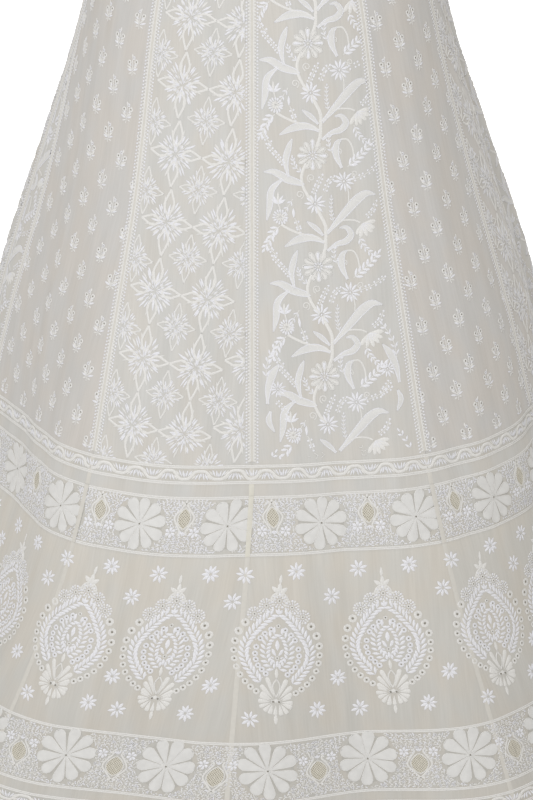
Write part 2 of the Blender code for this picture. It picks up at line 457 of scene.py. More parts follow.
    def arrays(self):
        """Points, faces, finish of each face, stitch of each face and of each point, and flat places."""
        if self.ready is None:
            points, faces, finish, flat = zip(*self.stitches)
            point_counts = [len(part) for part in points]
            face_counts = [len(part) for part in faces]
            first = np.repeat(np.cumsum([0, *point_counts[:-1]]), face_counts)[:, None]
            faces = np.concatenate(faces)
            number = np.arange(len(self.stitches))
            self.ready = (
                np.concatenate(points),
                np.where(faces >= 0, faces + first, -1),
                np.repeat(finish, face_counts),
                np.repeat(number, face_counts),
                np.repeat(number, point_counts),
                np.concatenate(flat),
            )
        return self.ready


# What a place is where it doesn't say so itself: x, depth, angle, mirrored and scale
PLACE = (0, 0, 0, False, 1.0)


class Embroidery:
    """All the stitches of one kali, put down stamp by stamp and made into one mesh."""

    def __init__(self, kali):
        self.kali = kali
        self.parts = []
        self.size = 0

    def keep(self, points, faces, finish, flat):
        self.parts.append((points, np.where(faces >= 0, faces + self.size, -1), finish, flat / 1000))
        self.size += len(points)

    def put(self, stamps, places, inset=None, top=None, bottom=None):
        """Puts the stamps in turn at each (x, depth, angle, mirrored, scale) place. A stitch that is mostly
        nearer to a seam than inset, or that passes top or bottom, is left out, and one that only touches the
        inset ends there."""
        stamps = stamps if isinstance(stamps, list) else [stamps]
        for i, place in enumerate(places):
            x, depth, angle, mirrored, scale = (*place, *PLACE[len(place):])
            points, faces, finish, stitch_face, stitch_point, flat = stamps[i % len(stamps)].arrays()
            turn = math.radians(angle)
            px = points[:, 0] * scale * (-1 if mirrored else 1)
            py = points[:, 1] * scale
            gx = x + px * math.cos(turn) - py * math.sin(turn)
            gd = depth + (px * math.sin(turn) + py * math.cos(turn)) / SKIRT.slant(depth)
            keep = np.ones(stitch_point.max() + 1, bool)
            if inset is not None:
                half = self.kali.width_at(gd) / 2 - inset
                outside = np.bincount(stitch_point, np.abs(gx) > half)
                keep[outside > 0.45 * np.bincount(stitch_point)] = False
                gx = np.clip(gx, -half, half)
            if top is not None:
                keep[stitch_point[gd < top]] = False
            if bottom is not None:
                keep[stitch_point[gd > bottom]] = False
            kept_face = keep[stitch_face]
            if not kept_face.any():
                continue
            kept_point = keep[stitch_point]
            number = np.cumsum(kept_point) - 1
            chosen = faces[kept_face]
            chosen = np.where(chosen >= 0, number[np.maximum(chosen, 0)], -1)
            if mirrored:
                short = chosen[:, 3:] < 0
                chosen = np.where(short, chosen[:, [0, 2, 1, 3]], chosen[:, [0, 3, 2, 1]])
            world = self.kali.place(gx[kept_point], gd[kept_point], points[kept_point, 2])
            self.keep(world, chosen, finish[kept_face], flat[kept_point] * scale)

    def line(self, xs, depths, width, finish=CREAM, height=0.6, base=0.1):
        """A single line of stitching along given places on the kali."""
        stamp = Stamp()
        stamp.ribbon(np.stack([xs, depths], axis=1), width, finish, height, base=base)
        points, faces, finishes, _, _, flat = stamp.arrays()
        self.keep(self.kali.place(*points.T), faces, finishes, flat)

    def level_line(self, depth, width, height):
        """A line of stitching right across the kali at one depth."""
        xs = np.linspace(-0.5, 0.5, LINE_POINTS) * self.kali.width_at(depth)
        self.line(xs, np.full_like(xs, depth), width, CREAM, height)

    def make(self, name, materials):
        points, faces, finish, flat = (np.concatenate(part) for part in zip(*self.parts))
        return mesh_object(name, points, faces, finish, {"Flat": flat}, materials)


def mesh_object(name, points, faces, finish, layers, materials, sharp_rim=False):
    """A mesh from arrays. A face whose fourth corner is -1 is a triangle. Layers are UV maps by point."""
    sizes = np.where(faces[:, 3] >= 0, 4, 3)
    corners = faces.reshape(-1)[(faces >= 0).reshape(-1)]
    starts = np.concatenate([[0], np.cumsum(sizes)[:-1]])
    mesh = bpy.data.meshes.new(name)
    mesh.vertices.add(len(points))
    mesh.vertices.foreach_set("co", points.astype(np.float32).ravel())
    mesh.loops.add(len(corners))
    mesh.loops.foreach_set("vertex_index", corners.astype(np.int32))
    mesh.polygons.add(len(faces))
    for material in materials:
        mesh.materials.append(material)
    for key, values in (("loop_start", starts), ("loop_total", sizes), ("material_index", finish)):
        mesh.polygons.foreach_set(key, values.astype(np.int32))
    for layer, values in layers.items():
        uv = mesh.uv_layers.new(name=layer)
        uv.data.foreach_set("uv", values[corners].astype(np.float32).ravel())
    mesh.update(calc_edges=True)
    mesh.validate()
    mesh.shade_smooth()
    if sharp_rim:
        mesh.set_sharp_from_angle(angle=RIM_ANGLE)
    piece = bpy.data.objects.new(name, mesh)
    bpy.context.scene.collection.objects.link(piece)
    return piece


def shell_object(name, outer, inner, layers, material):
    """A closed shell between two grids of points, with a sharp rim."""
    front = np.arange(outer[..., 0].size).reshape(outer.shape[:2])
    back = front + front.size
    sides = [front, back[:, ::-1], np.stack([back[0], front[0]]), np.stack([front[-1], back[-1]])]
    sides += [np.stack([back[:, 0], front[:, 0]], axis=1), np.stack([front[:, -1], back[:, -1]], axis=1)]
    quads = [np.stack([s[:-1, :-1], s[1:, :-1], s[1:, 1:], s[:-1, 1:]], axis=-1) for s in sides]
    faces = np.concatenate([part.reshape(-1, 4) for part in quads])
    points = np.concatenate([outer.reshape(-1, 3), inner.reshape(-1, 3)])
    layers = {layer: np.tile(values.reshape(-1, 2), (2, 1)) for layer, values in layers.items()}
    return mesh_object(name, points, faces, np.zeros(len(faces), int), layers, [material], sharp_rim=True)


# Motifs

# The leaves of a sprig: foot, angle, length, width and finish
SPRIG_LEAVES = (
    (-1.2, 0.4, -70, 4.2, 1.7, SATIN), (1.2, 0.2, 66, 4.0, 1.7, SATIN),
    (-0.6, 4.6, -52, 7.6, 2.2, CREAM), (0.6, 4.4, 46, 7.2, 2.2, CREAM),
    (-0.4, 5.6, -74, 7.4, 2.2, SATIN), (0.4, 5.4, 70, 7.0, 2.2, SATIN),
    (-0.6, 6.8, -112, 4.8, 1.7, CREAM), (0.6, 6.6, 108, 4.4, 1.7, CREAM),
)


def sprig_stamp(seed):
    """A small sprig: a bud over two worked eyelets, leaves to each side and a short stem."""
    stamp = Stamp(seed, loose=1.6)
    stamp.leaf(-0.4, -6.6, -8, 4.4, 2.3, CREAM)
    stamp.ring(1.0, -7.2, 1.4, 1.1, SATIN, sides=6)
    stem = curve((0.0, -7), (-0.6, -3), (0.2, 1), (0.2, 5), (-0.4, 10.2), steps=3)
    stamp.ribbon(stem, 1.2, CREAM, 0.7, taper=0.7)
    for x, y in ((-4.4, -2.8), (4.2, -3.4)):
        stamp.eyelet(x, y, 2.7, hole=0.75)
        stamp.ribbon(curve((x * 0.85, y + 2.4), (x * 0.5, y + 5), (0, 4.6), steps=2), 1.0)
    for leaf in SPRIG_LEAVES:
        stamp.leaf(*leaf)
    return stamp


def star_stamp(tall, wide, petals, petal_width, seed):
    """A star on a diamond: outlined points up, down and to the sides, and satin petals in each quarter."""
    stamp = Stamp(seed, loose=2.0)
    vary = stamp.chance.uniform
    for turn, reach in ((0, tall), (90, wide), (180, tall), (270, wide)):
        out = aim(turn)
        for sign in (-1, 1):
            belly = out * reach * 0.55 + beside(out) * tall * 0.16 * sign
            edge = curve(out * tall * 0.22, belly, out * reach * 1.04, steps=4)
            stamp.ribbon(edge, tall * 0.076, CREAM, 0.9, taper=0.9)
        stamp.leaf(*(out * tall * 0.20), turn, reach * 0.42, tall * 0.07)
        for lean in (-13, 13):
            stamp.leaf(*(out * tall * 0.10), turn + lean, reach * 0.26, tall * 0.055)
    for quarter in range(4):
        for i in range(petals):
            share = (i + 0.5) / petals
            angle = 90 * quarter + 10 + 70 * share + vary(-2.5, 2.5)
            dx, dy = abs(aim(angle))
            rim = 0.98 / (dx / wide + dy / tall) * (1.0 + 0.08 * math.sin(math.pi * share))
            rim *= vary(0.84, 1.08)
            start = rim * (0.60 if i % 2 else 0.50) * vary(0.92, 1.08)
            stamp.ray(0, 0, start, angle, rim - start, petal_width, SATIN if i % 3 else CREAM)
            start, angle = rim * vary(0.22, 0.34), angle + 35 / petals
            look = (petal_width * 0.84, CREAM if i % 2 else SATIN, 0.95, SHORT_STATIONS)
            stamp.ray(0, 0, start, angle, rim * 0.27, *look)
    for i in range(13):
        angle = 28 * i + vary(-8, 8)
        start = tall * vary(0.01, 0.09)
        look = (petal_width * 0.76, CREAM if i % 2 else SATIN, 1.0, SHORT_STATIONS)
        stamp.ray(0, 0, start, angle, tall * vary(0.14, 0.20), *look)
    return stamp


def starburst_stamp(seed):
    stamp = Stamp(seed)
    stamp.flower(0, 0, 11.4, 11, 2.7, turn=8, inner=0.14, height=0.95, stations=LEAF_STATIONS)
    stamp.knot(0, 0, 1.2)
    return stamp


def small_flower_stamp(seed):
    stamp = Stamp(seed)
    petals, turn = 9 if seed % 2 else 8, 10 + 7 * seed
    stamp.flower(0, 0, 10.2, petals, 3.4, turn=turn, inner=0.10, height=0.95, stations=LEAF_STATIONS)
    return stamp


def tiny_flower_stamp():
    stamp = Stamp(4)
    stamp.flower(0, 0, 5.9, 6, 3.3, inner=0.08, height=0.95)
    return stamp


def bead_stamp():
    """One rung of the ladder beside a seam: two bead stitches, one a little lower than the other."""
    stamp = Stamp()
    for x, y, finish in ((-2.2, 0.9, SATIN), (0.1, -0.2, CREAM)):
        stamp.leaf(x, y, 68, 2.5, 2.2, finish, stations=BEAD_STATIONS)
    return stamp


def rosette_stamp(radius, seed=0):
    """A textured flower of small stitches round a dark eyelet."""
    stamp = Stamp(seed, loose=1.4)
    stamp.eyelet(0, 0, radius * 0.30, hole=radius * 0.11, sides=7)
    for angle in range(0, 360, 40):
        stamp.leaf(*(aim(angle) * radius * 0.36), angle + 22, radius * 0.32, radius * 0.23)
    for finish, turn, inner in ((SATIN, 0.0, 0.60), (CREAM, 180 / 7, 0.56)):
        stamp.flower(0, 0, radius, 7, radius * 0.33, finish, turn, inner)
    return stamp


def outlined_daisy(length, width, petals, seed):
    """Outlined petals of thick cream thread, each with its own ridge, round a knotted middle."""
    stamp = Stamp(seed)
    for i in range(petals):
        angle = 360 * i / petals + stamp.chance.uniform(-2, 2)
        reach = length * stamp.chance.uniform(0.93, 1.05)
        out = aim(angle)
        root, belly, side = out * length * 0.28, out * reach * 0.76, beside(out) * width / 2
        edge = curve(root, belly - side, out * reach * 0.99, belly + side, root, steps=3)
        stamp.ribbon(edge, 1.25, height=0.95)
        stamp.leaf(*root, angle, reach * 0.68, width * 0.66, CREAM if i % 3 else SATIN, 0.8, BLUNT_STATIONS)
    stamp.flower(0, 0, length * 0.33, 9, 1.9, inner=0.3)
    stamp.knot(0, 0, 1.3, CREAM)
    return stamp


def long_leaf(stamp, path, width, belly=0.5):
    """A long curved leaf with slanting veins: a matt blade between thread edges, widest at its belly."""
    line = curve(*path, steps=4)
    step = np.gradient(line, axis=0)
    along = np.linspace(0, 1, len(line))
    swell = np.where(along < belly, along / belly / 2, 0.5 + (along - belly) / (1 - belly) / 2)
    half = width / 2 * np.maximum(np.sin(math.pi * swell) ** 0.9, np.where(along < belly, 0.26, 0.06))
    side = beside(step / np.linalg.norm(step, axis=1, keepdims=True)) * half[:, None]
    points, flat = [], []
    for p, s, h, a in zip(line, side, half, along):
        for share, lift in ((-0.9, 0.20), (0, 0.46), (0.9, 0.20)):
            points.append((*(p + s * share), lift))
            flat.append((h * share, a * 30))
    stamp.add(points, lattice(len(line), 3), APPLIQUE, flat)
    for sign in (-1, 1):
        stamp.ribbon(line + side * sign * 0.86, 1.5, SATIN, 0.8, taper=0.6)
    for i in range(2, len(line) - 2, 2):
        for sign in (-1, 1) if half[i] > 2.2 else ():
            tip = line[i] + side[i] * sign * 0.8 + (line[i + 1] - line[i]) * 0.9
            stamp.ribbon([line[i], tip], 0.8, CREAM, 0.62, base=0.3)


def twig(stamp, path, pairs, length, width, spread=36):
    """A stem with leaves in pairs, and one at its tip."""
    line = curve(*path, steps=max(2, pairs))
    stamp.ribbon(line, 0.9, CREAM, 0.4)
    for i in range(pairs):
        f = (i + 0.4) / pairs * (len(line) - 1)
        k = min(int(f), len(line) - 2)
        step = line[k + 1] - line[k]
        angle = heading(step)
        for turn in (-spread, spread):
            stamp.leaf(*(line[k] + step * (f - k)), angle + turn, length * (1.0 - 0.25 * i / pairs), width)
    stamp.leaf(*line[-1], angle, length * 0.8, width)


def knot_twig(stamp, path, pairs):
    """A stem set with pairs of small knots."""
    line = curve(*path, steps=max(2, pairs))
    stamp.ribbon(line, 0.9, CREAM, 0.4)
    for i in range(pairs):
        k = min(int((i + 0.8) / pairs * (len(line) - 2)), len(line) - 2)
        step = line[k + 1] - line[k]
        side = beside(step) / max(np.linalg.norm(step), 1e-6) * 1.9
        for sign in (1, -1):
            stamp.knot(*(line[k] + side * sign), 1.3)
    stamp.knot(*line[-1], 1.4)


def spiral(stamp, x, y, radius, start, sign):
    """A thread that winds in to its middle in 1.3 turns."""
    angle = math.radians(start) + sign * np.linspace(0, 2 * math.pi * 1.3, 14)
    reach = radius * np.linspace(1, 0.25, 14)
    stamp.ribbon(np.stack([x + reach * np.sin(angle), y - reach * np.cos(angle)], axis=1), 1.2, CREAM, 0.5)


# The vine is drawn in its own units round a daisy, with y down: one unit is 0.19 mm. After its points, a
# stem has its width, a leaf its width and belly, a knot twig its pairs, and a twig its pairs and its leaves'
# length and width. A spiral has its place, its radius in millimetres and which way it turns.
DRAWN = 0.19
VINE_STEMS = (
    ((4, -335), (24, -290), (52, -225), (50, -160), (45, -100), (22, -45), 3.6),
    ((-38, 45), (-62, 95), (-66, 150), (-40, 215), (-5, 262), 3.2),
    ((62, -185), (105, -225), (150, -252), (215, -252), (250, -238), 1.9),
    ((42, -130), (0, -165), (-80, -180), (-150, -210), (-196, -236), 2.6),
    ((185, 165), (196, 215), (190, 290), 1.5),
    ((-198, -318), (-206, -350), 1.5),
    ((-118, -272), (-105, -230), (-88, -186), 1.2),
    ((165, -85), (202, -82), (226, -40), (233, 15), 1.9),
)
VINE_LEAVES = (
    ((58, -182), (112, -238), (176, -305), (232, -362), (290, -398), (346, -388), 10.0, 0.6),
    ((55, -86), (110, -122), (165, -138), (195, -175), (168, -214), (130, -212), 7.0, 0.5),
    ((40, -134), (-30, -162), (-105, -152), (-182, -114), 8.6, 0.55),
    ((37, -172), (0, -212), (-52, -252), 5.0, 0.6),
    ((162, 74), (132, 0), (138, -60), (167, -86), 7.4, 0.45),
    ((-55, 165), (-83, 150), (-150, 128), (-214, 92), (-276, 92), 9.0, 0.55),
    ((-140, 118), (-152, 30), (-132, -45), (-112, -92), 6.8, 0.5),
    ((-172, 128), (-235, 190), (-250, 280), (-270, 360), 7.6, 0.5),
)
VINE_KNOTS = (
    ((-5, 215), (20, 165), (52, 108), 6),
    ((212, 142), (275, 122), (335, 92), (378, 68), 6),
    ((-160, 50), (-203, -4), (-255, -62), 8),
    ((60, 205), (85, 150), (120, 118), 5),
    ((285, -268), (325, -300), (352, -352), 5),
    ((-112, -262), (-100, -222), (-90, -190), 3),
    ((-225, -60), (-262, -100), (-280, -150), 4),
)
VINE_TWIGS = (
    ((196, 68), (240, 32), (290, -10), (338, -58), 6, 9.4, 3.1),
    ((97, -245), (88, -310), (92, -378), 6, 4.6, 1.5),
    ((-204, -226), (-240, -195), (-262, -150), (-290, -105), 5, 8.8, 2.9),
    ((240, -160), (262, -110), (300, -70), 4, 7.0, 2.2),
    ((-60, 100), (-100, 60), (-112, 20), 4, 5.6, 1.9),
    ((110, -10), (92, -60), (98, -110), 4, 5.4, 1.8),
    ((-120, 240), (-160, 300), (-170, 350), 4, 5.6, 1.8),
)
VINE_SPIRALS = ((-13, 125, 4.6, 1), (-80, 216, 4.6, -1), (235, 108, 3.6, 1), (150, -20, 3.0, -1))


def drawn(*points):
    return np.array(points) * DRAWN


def vine_stamp(seed):
    """One length of the running vine, drawn round its big daisy."""
    stamp = Stamp(seed)
    for *path, width in VINE_STEMS:
        stamp.ribbon(curve(*drawn(*path), steps=3), width, CREAM, 0.75)
    for *path, width, belly in VINE_LEAVES:
        long_leaf(stamp, drawn(*path), width, belly)
    for *path, pairs in VINE_KNOTS:
        knot_twig(stamp, drawn(*path), pairs)
    for *path, pairs, length, width in VINE_TWIGS:
        twig(stamp, drawn(*path), pairs, length, width)
    stamp.merge(outlined_daisy(16.6, 4.9, 12, seed + 50), 0, 0)
    for x, y in drawn((4, 268), (172, 148)):
        stamp.merge(starburst_stamp(seed + 60), x, y)
    for radius, petals, width, finish, inner in ((8.6, 15, 2.2, SATIN, 0.42), (4.8, 8, 2.4, CREAM, 0.1)):
        stamp.flower(*drawn(-198, -278), radius, petals, width, finish, inner=inner)
    for angle, length in ((-58, 9.5), (-28, 12.0), (0, 12.5), (28, 12.0), (58, 9.5)):
        stamp.leaf(*drawn(-207, -348), angle, length, 2.8, SATIN if angle else CREAM)
    half_flower = drawn(262, -235)
    stamp.fan(*half_flower, [(angle, 15.5) for angle in range(84, 215, 26)], 4.7, CREAM, 0.9, PETAL_STATIONS)
    stamp.fan(*half_flower, [(angle, 9.5) for angle in range(97, 202, 26)], 1.9)
    stamp.leaf(*drawn(-123, -272), -3, 11.0, 3.2)
    for x, y, radius, sign in VINE_SPIRALS:
        spiral(stamp, *drawn(x, y), radius, 200 * sign, sign)
    return stamp


def vine_side_stamp(seed):
    """What fills the wider foot of a vine kali: a broad leaf, a white twig and a small flower."""
    stamp = Stamp(seed)
    long_leaf(stamp, ((-8, 28), (-4, 12), (3, -2), (12, -12)), 8.5, 0.6)
    twig(stamp, ((-4, 2), (-2, -10), (4, -22), (12, -32)), 5, 7.4, 2.4)
    stamp.merge(starburst_stamp(seed + 9), 6, 14, 0.8)
    knot_twig(stamp, ((2, 26), (8, 34), (12, 44)), 5)
    long_leaf(stamp, ((-6, 36), (-10, 46), (-6, 58)), 6.0)
    return stamp


# Half the outline of a cloth petal, as shares of its length and half width, and its height from side to side
PETAL_SHAPE = (
    (0.07, 0.06), (0.22, 0.22), (0.44, 0.52), (0.64, 0.82), (0.80, 1.0), (0.92, 0.82), (0.98, 0.46),
)
PETAL_LIFTS = (0.48, 0.68, 0.60, 0.68, 0.48)


def applique_daisy_stamp(length, width, seed, petals=10):
    """A flat applique daisy: cream cloth petals with a fine corded edge, over a pad of painted shade."""
    stamp = Stamp(seed)
    vary = stamp.chance.uniform
    # A pad of painted shade under the petals, which shows dark between them
    stamp.pad(0, 0, length * 0.86, SHADE, 0.14)
    for i in range(petals):
        out = aim(360 * i / petals + vary(-2.5, 2.5))
        tip = out * length * vary(0.94, 1.02)
        side = beside(out) * width * vary(0.92, 1.04) / 2
        left = [tip * along - side * share for along, share in PETAL_SHAPE]
        right = [tip * along + side * share for along, share in PETAL_SHAPE]
        points = []
        for a, b in zip(left, right):
            points += [(*(a + (b - a) * k / 4), lift) for k, lift in enumerate(PETAL_LIFTS)]
        faces = [(a, d, c, b) for a, b, c, d in lattice(len(PETAL_SHAPE), len(PETAL_LIFTS))]
        stamp.add(points, faces, APPLIQUE, np.array(points)[:, :2])
        stamp.ribbon([tip * 0.03, *left, tip, *right[::-1], tip * 0.03], 1.15, CREAM, 0.95, base=0.16)
    for i in range(5):
        stamp.knot(*(aim(72 * i + math.degrees(0.4)) * 2.3), 0.8, CREAM)
    # The dark middle is a disc of painted shade for the hole there
    stamp.disc(0, 0, 1.15, HOLE_SHADE, 0.86, rim=0.84)
    return stamp


def net_diamond_stamp(half_width, half_height, seed):
    """A pointed oval of drawn-thread net inside a cream corded outline."""
    stamp = Stamp(seed)
    shares = ((0, -1), (0.66, -0.6), (1, -0.05), (0.74, 0.56), (0, 1))
    outline = curve(*[(half_width * across, half_height * down) for across, down in shares], steps=4)
    loop = np.concatenate([outline, outline[-2:0:-1] * (-1, 1)])
    # A dark disc under the net threads: painted shade for the dark that shows through the open mesh
    ground = np.array([(0, 0, 0.15)] + [(x, y, 0.14) for x, y in loop])
    stamp.add(ground, wheel(len(loop)), HOLE_SHADE, ground[:, :2])
    pitch = 3.0
    reach = int(2 * half_height / pitch) + 1
    x = np.linspace(-1, 1, 41) * half_width
    for slope in (-1.1, 1.1):
        for i in range(-reach, reach + 1):
            y = slope * x + (i + 0.5) * pitch
            held = np.flatnonzero((abs(x) / half_width) ** 1.5 + (abs(y) / half_height) ** 1.5 < 1.0)
            if len(held) >= 3:
                stamp.ribbon([(x[k], y[k]) for k in held[[0, -1]]], 1.05, NET, 0.5, base=0.2)
    stamp.ribbon(loop, 1.5, CREAM, 0.9, closed=True)
    return stamp


def diamond_frame_stamp(half_width, half_height, seed, sprays=False):
    """The cream ogee that frames a net diamond, with a trefoil at one end."""
    stamp = Stamp(seed)
    right = curve(
        (0, -half_height - 5),
        (half_width * 0.6, -half_height * 0.88),
        (half_width + 3.6, -half_height * 0.1),
        (half_width * 0.92, half_height * 0.66),
        (half_width * 0.5, half_height + 1.5),
        (half_width * 0.66, half_height + 6.0),
        steps=4,
    )
    for side in (-1, 1):
        stamp.ribbon(right * (side, 1), 2.1, CREAM, 0.75)
    trefoil = [(angle, 5.5) for angle in (-58, 0, 58)]
    stamp.fan(0, -half_height - 3, trefoil, 2.6, CREAM, 0.8, PETAL_STATIONS)
    # A disc of painted shade for the hole over the trefoil
    stamp.disc(0, -half_height - 4.5, 0.8, HOLE_SHADE, 0.9, rim=0.88)
    stamp.fan(0, half_height + 2, [(angle, 5.0) for angle in (140, 180, 220)], 2.0)
    if sprays:
        for side in (-1, 1):
            path = [(side * x, y) for x, y in ((2.5, -14.5), (10, -18.2), (18, -18.6), (26, -16.0))]
            twig(stamp, path, 6, 4.3, 1.6, spread=50)
    return stamp


# The right half of the medallion, in its own units round its middle with y down. One is 0.115 mm across and
# 0.122 mm down.
ACROSS, DOWN = 0.115, 0.122
MEDALLION_RIM = (
    (308, -294, 4.9), (366, -208, 4.8), (396, -114, 4.4), (404, -28, 3.9), (396, 48, 3.8), (376, 122, 3.8),
    (340, 190, 3.8), (292, 248, 3.8), (240, 294, 3.8), (186, 330, 3.8),
)
MEDALLION_ROSETTES = ((0, -515, 8.8), (120, -462, 8.5), (226, -378, 8.4))
MEDALLION_WREATH = (
    (6, -425), (105, -352), (195, -256), (262, -168), (304, -70), (302, 30), (258, 116), (205, 182),
    (146, 248),
)
MEDALLION_EYELETS = (
    (66, -250), (122, -207), (162, -162), (198, -80), (207, -18), (198, 36), (176, 88), (140, 124),
    (102, 160),
)
MEDALLION_SPRAY = ((8, -225), (60, -184), (98, -120), (108, -42), (96, 26), (62, 80), (22, 118))

# Path, pitch of the leaves, their length and width, the share of the length that the inner ones keep, the
# end left bare, and how far each leaf leans from the path
MEDALLION_BRANCHES = (
    (MEDALLION_WREATH, 5.3, 10.0, 3.5, 1.0, 5.0, 37),
    (MEDALLION_SPRAY, 4.9, 8.8, 3.3, 0.80, 3.0, 50),
)


def medallion_stamp(seed):
    """A keri medallion: a rim of eyelets, rosettes to its cap, a leaf wreath, sprays and a fan below."""
    stamp = Stamp(seed)
    for side in (-1, 1):
        unit = np.array((side * ACROSS, DOWN))
        for *spot, radius in MEDALLION_RIM:
            stamp.eyelet(*(spot * unit), radius, hole=radius * 0.27)
        for *spot, radius in MEDALLION_ROSETTES:
            if side > 0 or spot[0] > 0:
                stamp.merge(rosette_stamp(radius, seed), *(spot * unit))
        for x, y in MEDALLION_EYELETS:
            stamp.eyelet(*((x, y) * unit), 3.4, SATIN, hole=0.65, sides=7)
            stamp.knot(*((x * 1.22 + 6, y * 1.08 + 26) * unit), 0.9, CREAM)
        for path, pitch, size, width, short, stop, lean in MEDALLION_BRANCHES:
            line = curve(*(path[::-1] * unit))
            length = lengths_along(line)
            for at in np.arange(0.6, length[-1] - stop, pitch):
                here, ahead = np.array([np.interp((at, at + 1), length, axis) for axis in line.T]).T
                for turn in (-lean, lean):
                    reach = size * (short if turn * side < 0 else 1)
                    stamp.leaf(*here, heading(ahead - here) + turn, reach, width, height=0.95)
        stamp.leaf(side * 2.2, -37 * DOWN, side * 44, 6.2, 2.8)
        stamp.leaf(side * 3.0, 2, side * 62, 4.6, 2.0)
    # The crown over the top rosette, its three leaves and its point
    turn = np.radians(np.linspace(-98, 98, 9))
    for reach in (9.6, 6.6):
        arch = np.stack([reach * 0.95 * np.sin(turn), -62.5 - reach * np.cos(turn)], axis=1)
        stamp.ribbon(arch, 2.1, CREAM, 0.95)
    stamp.fan(0, -71.0, ((-50, 11.0), (0, 12.0), (50, 11.0)), 5.0, CREAM, 1.0)
    stamp.leaf(0, -80.5, 0, 12.5, 3.8, CREAM)
    # Leaves that close the wreath under it, and the middle
    stamp.fan(0, -47.5, ((-34, 7.0), (0, 8.2), (34, 7.0)), 3.1)
    stamp.eyelet(0, -285 * DOWN, 2.5, hole=0.85, sides=7)
    stamp.leaf(0, -7, 0, 12.5, 5.0)
    for side in (-1, 1):
        stamp.leaf(side * 1.2, -1, side * 34, 8.4, 3.4)
        stamp.leaf(side * 1.8, 7, side * 50, 7.4, 3.1)
    stamp.eyelet(0, 10 * DOWN, 2.4, hole=0.8)
    stamp.leaf(0, 12, 0, 8.0, 3.6)
    # Fan at the foot, with a loop, two dark eyelets and a drop
    foot = 420 * DOWN
    broad = (4.9, CREAM, 0.95, BLUNT_STATIONS)
    for side in (-1, 1):
        for angle, length in ((64, 12.9), (90, 13.2), (116, 13.0), (142, 12.8), (167, 12.6)):
            stamp.ray(side * 3.4, foot, 2.4, side * angle, length, *broad)
    stamp.leaf(0, foot + 3.4, 180, 11.5, 4.6, CREAM, 0.9, BLUNT_STATIONS)
    spokes = ((-60, 15), (-41, 20), (-22, 24), (22, 24), (41, 20), (60, 15))
    stamp.fan(0, foot, spokes, 5.4, CREAM, 1.05, BLUNT_STATIONS, start=5.0)
    loop = curve((0, foot - 5.5), (2.6, foot - 11), (3.9, foot - 19), (0, foot - 26), steps=3)
    for side in (-1, 1):
        stamp.ribbon(loop * (side, 1), 1.7, CREAM, 1.0)
    stamp.leaf(0, foot - 26, 0, 12.5, 4.2, CREAM, 1.0)
    stamp.knot(0, foot - 1.5, 2.6, CREAM, 0.8)
    for side in (-1, 1):
        stamp.ring(side * 3.2, foot - 0.4, 1.6, 1.3, CREAM, 1.0, sides=7)
        # Each dark eyelet's middle is a disc of painted shade
        stamp.disc(side * 3.2, foot - 0.4, 1.15, HOLE_SHADE, 1.12, rim=1.1)
    stamp.leaf(0, foot + 13, 180, 12.5, 4.4, CREAM, 0.9)
    return stamp


# Laying the motifs on the kalis

SEAM_INSET = 7.2
MOTIF_TOP = WAISTBAND_HEIGHT * 1000 + 6
PANEL_FOOT = NARROW_TOP - 3.0
STAR_FOOT = NARROW_TOP + 1.5
SPRIG_COLUMN, SPRIG_ROW = 24, 47
STAR_COLUMN, STAR_ROW, STAR_STAGGER = 58, 67.6, 5.0
VINE_ROW = 110
UPPER_STRIP_WIDTH, LOWER_STRIP_WIDTH = 2.8, 5.4
SEAM_LINE_INSET = 2.0
BEAD_INSET, BEAD_STEP = 4.7, 3.4
HEM_LINE_RISE = 7


def lay_sprigs(work, stamps):
    """A half-drop repeat of sprigs, each turned a little."""
    places = []
    for column in range(-5, 7):
        for row in range(-1, 15):
            depth = 66 + (row + column % 2 / 2) * SPRIG_ROW
            sway = 5 * math.sin(column * 2.1 + row * 1.3)
            places.append((-15 + SPRIG_COLUMN * column, depth, sway, (row + column) % 3 == 0, 1.08))
    work.put(stamps["sprig"], places, inset=SEAM_INSET - 3, top=MOTIF_TOP, bottom=PANEL_FOOT)


def lay_stars(work, stamps):
    """Columns of big stars with small stars between, closing to a lattice of diamonds."""
    for key, aside, first in (("big_star", 40, 290), ("small_star", 69.5, 323.5)):
        places = []
        for column in range(-1, 6):
            for row in range(-4, 8):
                depth = first + row * STAR_ROW + column % 2 * STAR_STAGGER
                x = aside + column * STAR_COLUMN - work.kali.width_at(depth) / 2
                places.append((x, depth, 5, row % 2 == 0))
        work.put(stamps[key], places, inset=SEAM_INSET, top=MOTIF_TOP, bottom=STAR_FOOT)


def lay_vine(work, stamps):
    """The vine repeats just left of the kali's middle, with more beside it where that fits."""
    room = {"inset": SEAM_INSET - 1, "top": MOTIF_TOP, "bottom": PANEL_FOOT}
    places = [(-2.54 - row * 2.2, 247 + row * VINE_ROW, 1.5) for row in range(-2, 5)]
    work.put(stamps["vine"], places, **room)
    for row in range(-1, 6):
        for side, shift, least in ((-1, 135, 84), (1, 120, 76)):
            depth = shift + row * VINE_ROW
            half = work.kali.width_at(depth) / 2
            if half > least:
                work.put(stamps["vine_side"], [(side * (half - 19), depth, side * 6, side > 0)], **room)


# Stretches of the seam strip below the panels: their depths, how far each lies over what is worked under it,
# and its finish at the middle of the front, where a paler, warmer copy of the strip is painted light.
LOWER_STRIP = (
    (NARROW_TOP, NARROW_BOTTOM, 0.0, STRIP),
    (NARROW_BOTTOM, WIDE_TOP, 0.0, PAINTED_LIGHT_STRIP),
    (WIDE_TOP, WIDE_BOTTOM, 0.58, PAINTED_LIGHT_STRIP),
    (WIDE_BOTTOM, SKIRT_LENGTH * 1000 - 1.0, 0.0, STRIP),
)


